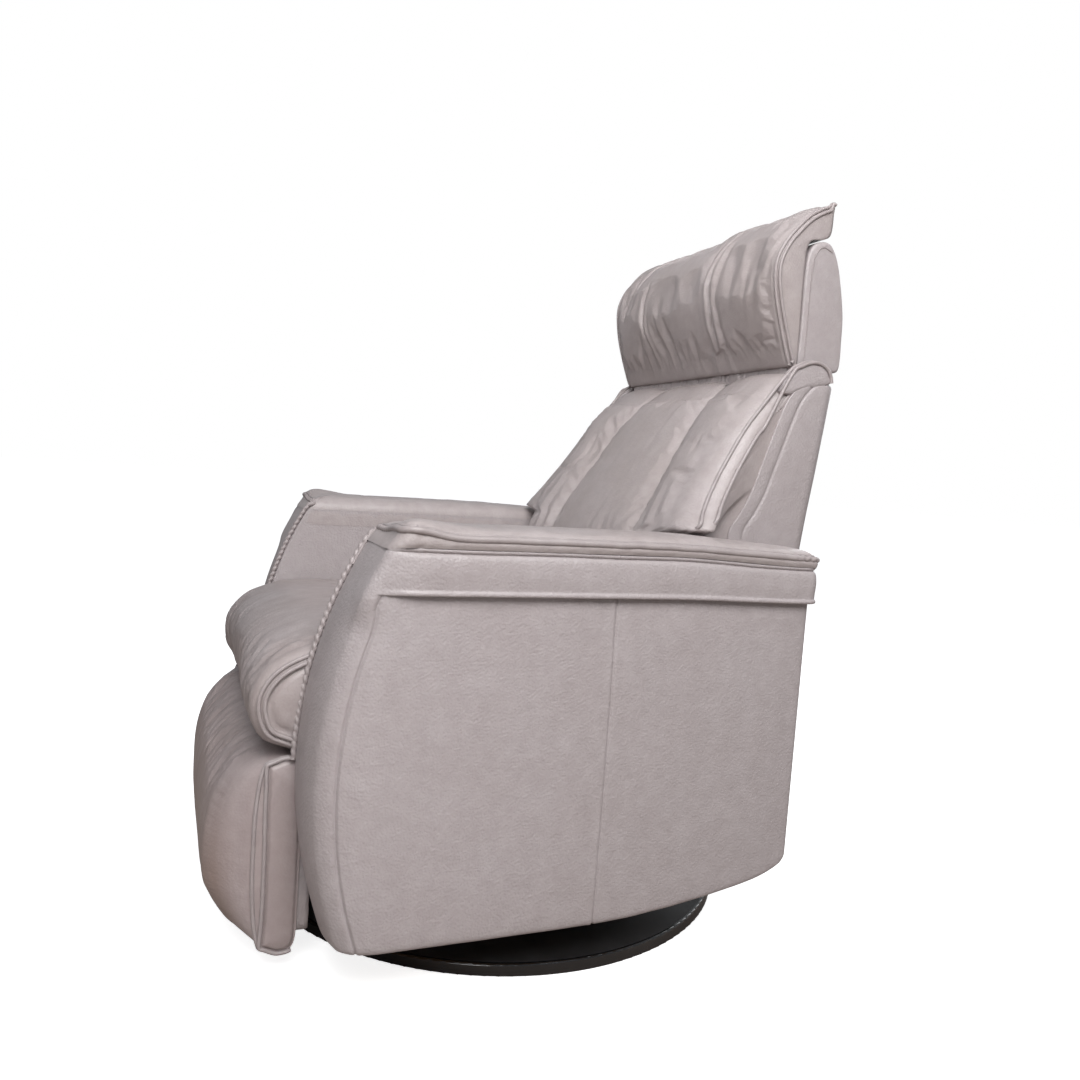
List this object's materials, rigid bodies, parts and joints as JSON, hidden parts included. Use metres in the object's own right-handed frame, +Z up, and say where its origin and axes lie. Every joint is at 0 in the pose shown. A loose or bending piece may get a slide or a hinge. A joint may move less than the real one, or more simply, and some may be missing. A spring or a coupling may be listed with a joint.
{
  "type": "swivel glider power recliner",
  "caption": "Leather armchair on a round swivel base, with hanging glide links, a powered footrest, a reclining back and a tilting headrest.",
  "frame": {"origin": "on the floor at the swivel axis, the centre of the round base", "axes": "+Z up, the sitter faces -Y, so +X is the sitter's left"},
  "size_m": [0.854, 0.9182, 1.1083],
  "materials": {
    "disc_paint": "matte powder coat",
    "edge_trim": "gloss",
    "pad_rubber": "matte",
    "race_steel": "satin",
    "ball_steel": "polished",
    "frame_paint": "satin powder coat",
    "link_steel": "zinc plated",
    "cushion_leather": "soft semi-gloss, fine grain",
    "panel_leather": "taut semi-gloss, fine grain",
    "frame_wood": "raw plywood",
    "lining_cloth": "matte",
    "black_plastic": "matte",
    "gloss_black": "gloss",
    "button_steel": "satin",
    "rod_chrome": "polished"
  },
  "bodies": {
    "base": {"base_disc": "disc_paint", "base_edge_band": "edge_trim", "floor_pads": "pad_rubber", "bearing_lower_race": "race_steel", "bearing_balls": "ball_steel"},
    "swivel_frame": {"bearing_upper_race": "race_steel", "swivel_frame": "frame_paint", "base_side_plate_left": "frame_paint", "base_side_plate_right": "frame_paint", "frame_bolts": "link_steel"},
    "front_glide": {"front_glide_links": "link_steel"},
    "rear_glide": {"rear_glide_links": "link_steel"},
    "chair_frame": {"glide_rail_left": "frame_paint", "glide_rail_right": "frame_paint", "mechanism_plate_left": "frame_paint", "mechanism_plate_right": "frame_paint", "seat_frame": "frame_paint", "seat_springs": "link_steel", "seat_cushion": "cushion_leather", "arm_frames": "frame_wood", "arm_outer_panel_left": "panel_leather", "arm_outer_panel_right": "panel_leather", "arm_inner_panel_left": "panel_leather", "arm_inner_panel_right": "panel_leather", "arm_front_left": "panel_leather", "arm_front_right": "panel_leather", "arm_band_left": "cushion_leather", "arm_band_right": "cushion_leather", "arm_pad_left": "cushion_leather", "arm_pad_right": "cushion_leather", "rear_panel": "lining_cloth", "power_inlet": "black_plastic", "control_box": "black_plastic", "control_bezel": "gloss_black", "footrest_motor": "black_plastic", "back_motor": "black_plastic"},
    "footrest_crank": {"footrest_crank": "link_steel"},
    "footrest_carrier": {"carrier_links": "link_steel"},
    "footrest_rockers": {"rocker_links": "link_steel"},
    "footrest_drives": {"drive_links": "link_steel"},
    "footrest": {"footrest_board": "frame_wood", "footrest_brackets": "link_steel", "footrest_pad": "cushion_leather"},
    "footrest_rod": {"footrest_rod": "rod_chrome"},
    "back": {"back_frame": "frame_paint", "back_shell": "panel_leather", "back_cushion": "cushion_leather", "headrest_motor": "black_plastic", "headrest_gusset": "cushion_leather"},
    "back_rod": {"back_rod": "rod_chrome"},
    "headrest": {"headrest_frame": "frame_paint", "headrest_shell": "panel_leather", "headrest_pillow": "cushion_leather"},
    "headrest_rod": {"headrest_rod": "rod_chrome"},
    "button_open": {"button_open": "button_steel"},
    "button_close": {"button_close": "button_steel"},
    "button_home": {"button_home": "button_steel"},
    "button_head_forward": {"button_head_forward": "button_steel"},
    "button_head_back": {"button_head_back": "button_steel"}
  },
  "joints": [
    {"name": "swivel", "type": "hinge", "parent": "base", "child": "swivel_frame", "pos_m": [0, 0, 0.025], "axis": [0, 0, 1], "continuous": true},
    {"name": "glide", "type": "hinge", "parent": "swivel_frame", "child": "front_glide", "pos_m": [0, -0.13, 0.205], "axis": [1, 0, 0], "range_deg": [-16, 16]},
    {"name": "glide_level", "type": "hinge", "parent": "front_glide", "child": "chair_frame", "pos_m": [0, -0.13, 0.085], "axis": [1, 0, 0], "range_deg": [-16.5, 16.5]},
    {"name": "rear_glide", "type": "hinge", "parent": "swivel_frame", "child": "rear_glide", "pos_m": [0, 0.13, 0.205], "axis": [1, 0, 0], "range_deg": [-16.5, 16.5]},
    {"name": "footrest_open", "type": "hinge", "parent": "chair_frame", "child": "footrest_crank", "pos_m": [0, -0.158, 0.241], "axis": [-1, 0, 0], "range_deg": [0, 90]},
    {"name": "carrier_turn", "type": "hinge", "parent": "footrest_crank", "child": "footrest_carrier", "pos_m": [0, -0.095, 0.112], "axis": [-1, 0, 0], "range_deg": [-88, 0.5]},
    {"name": "footrest_turn", "type": "hinge", "parent": "footrest_carrier", "child": "footrest", "pos_m": [0, -0.333, 0.233], "axis": [-1, 0, 0], "range_deg": [-0.5, 78]},
    {"name": "rocker_turn", "type": "hinge", "parent": "chair_frame", "child": "footrest_rockers", "pos_m": [0, -0.202, 0.24], "axis": [-1, 0, 0], "range_deg": [-0.5, 92.5]},
    {"name": "drive_turn", "type": "hinge", "parent": "footrest_crank", "child": "footrest_drives", "pos_m": [0, -0.06, 0.129], "axis": [-1, 0, 0], "range_deg": [-89.5, 0.5]},
    {"name": "footrest_rod_slide", "type": "slide", "parent": "chair_frame", "child": "footrest_rod", "axis": [0, -1, 0], "range_m": [0, 0.069]},
    {"name": "recline", "type": "hinge", "parent": "chair_frame", "child": "back", "pos_m": [0, 0.215, 0.34], "axis": [-1, 0, 0], "range_deg": [0, 32]},
    {"name": "back_rod_slide", "type": "slide", "parent": "chair_frame", "child": "back_rod", "axis": [0, -1, 0], "range_m": [0, 0.0558]},
    {"name": "headrest_tilt", "type": "hinge", "parent": "back", "child": "headrest", "pos_m": [0, 0.372, 0.862], "axis": [1, 0, 0], "range_deg": [0, 15], "deforming": ["headrest_gusset"]},
    {"name": "headrest_rod_slide", "type": "slide", "parent": "back", "child": "headrest_rod", "axis": [0, 0, 1], "range_m": [0, 0.0056]},
    {"name": "press_open", "type": "slide", "parent": "chair_frame", "child": "button_open", "axis": [-1, 0, 0], "range_m": [0, 0.0015], "stiffness_N_per_m": 600, "springref_m": -0.0006},
    {"name": "press_close", "type": "slide", "parent": "chair_frame", "child": "button_close", "axis": [-1, 0, 0], "range_m": [0, 0.0015], "stiffness_N_per_m": 600, "springref_m": -0.0006},
    {"name": "press_home", "type": "slide", "parent": "chair_frame", "child": "button_home", "axis": [-1, 0, 0], "range_m": [0, 0.0015], "stiffness_N_per_m": 600, "springref_m": -0.0006},
    {"name": "press_head_forward", "type": "slide", "parent": "chair_frame", "child": "button_head_forward", "axis": [-1, 0, 0], "range_m": [0, 0.0015], "stiffness_N_per_m": 600, "springref_m": -0.0006},
    {"name": "press_head_back", "type": "slide", "parent": "chair_frame", "child": "button_head_back", "axis": [-1, 0, 0], "range_m": [0, 0.0015], "stiffness_N_per_m": 600, "springref_m": -0.0006}
  ],
  "couplings": [
    {"joint": "glide_level", "follows": "glide", "ratio": -1},
    {"joint": "rear_glide", "follows": "glide", "ratio": 1},
    {"joint": "carrier_turn", "follows": "footrest_open", "ratio": -0.963},
    {"joint": "footrest_turn", "follows": "footrest_open", "ratio": 0.85},
    {"joint": "rocker_turn", "follows": "footrest_open", "ratio": 1.014},
    {"joint": "drive_turn", "follows": "footrest_open", "ratio": -0.978},
    {"joint": "footrest_rod_slide", "follows": "footrest_open", "m_per_rad": 0.043215},
    {"joint": "back_rod_slide", "follows": "recline", "m_per_rad": 0.09871},
    {"joint": "headrest_rod_slide", "follows": "headrest_tilt", "m_per_rad": 0.01994}
  ]
}
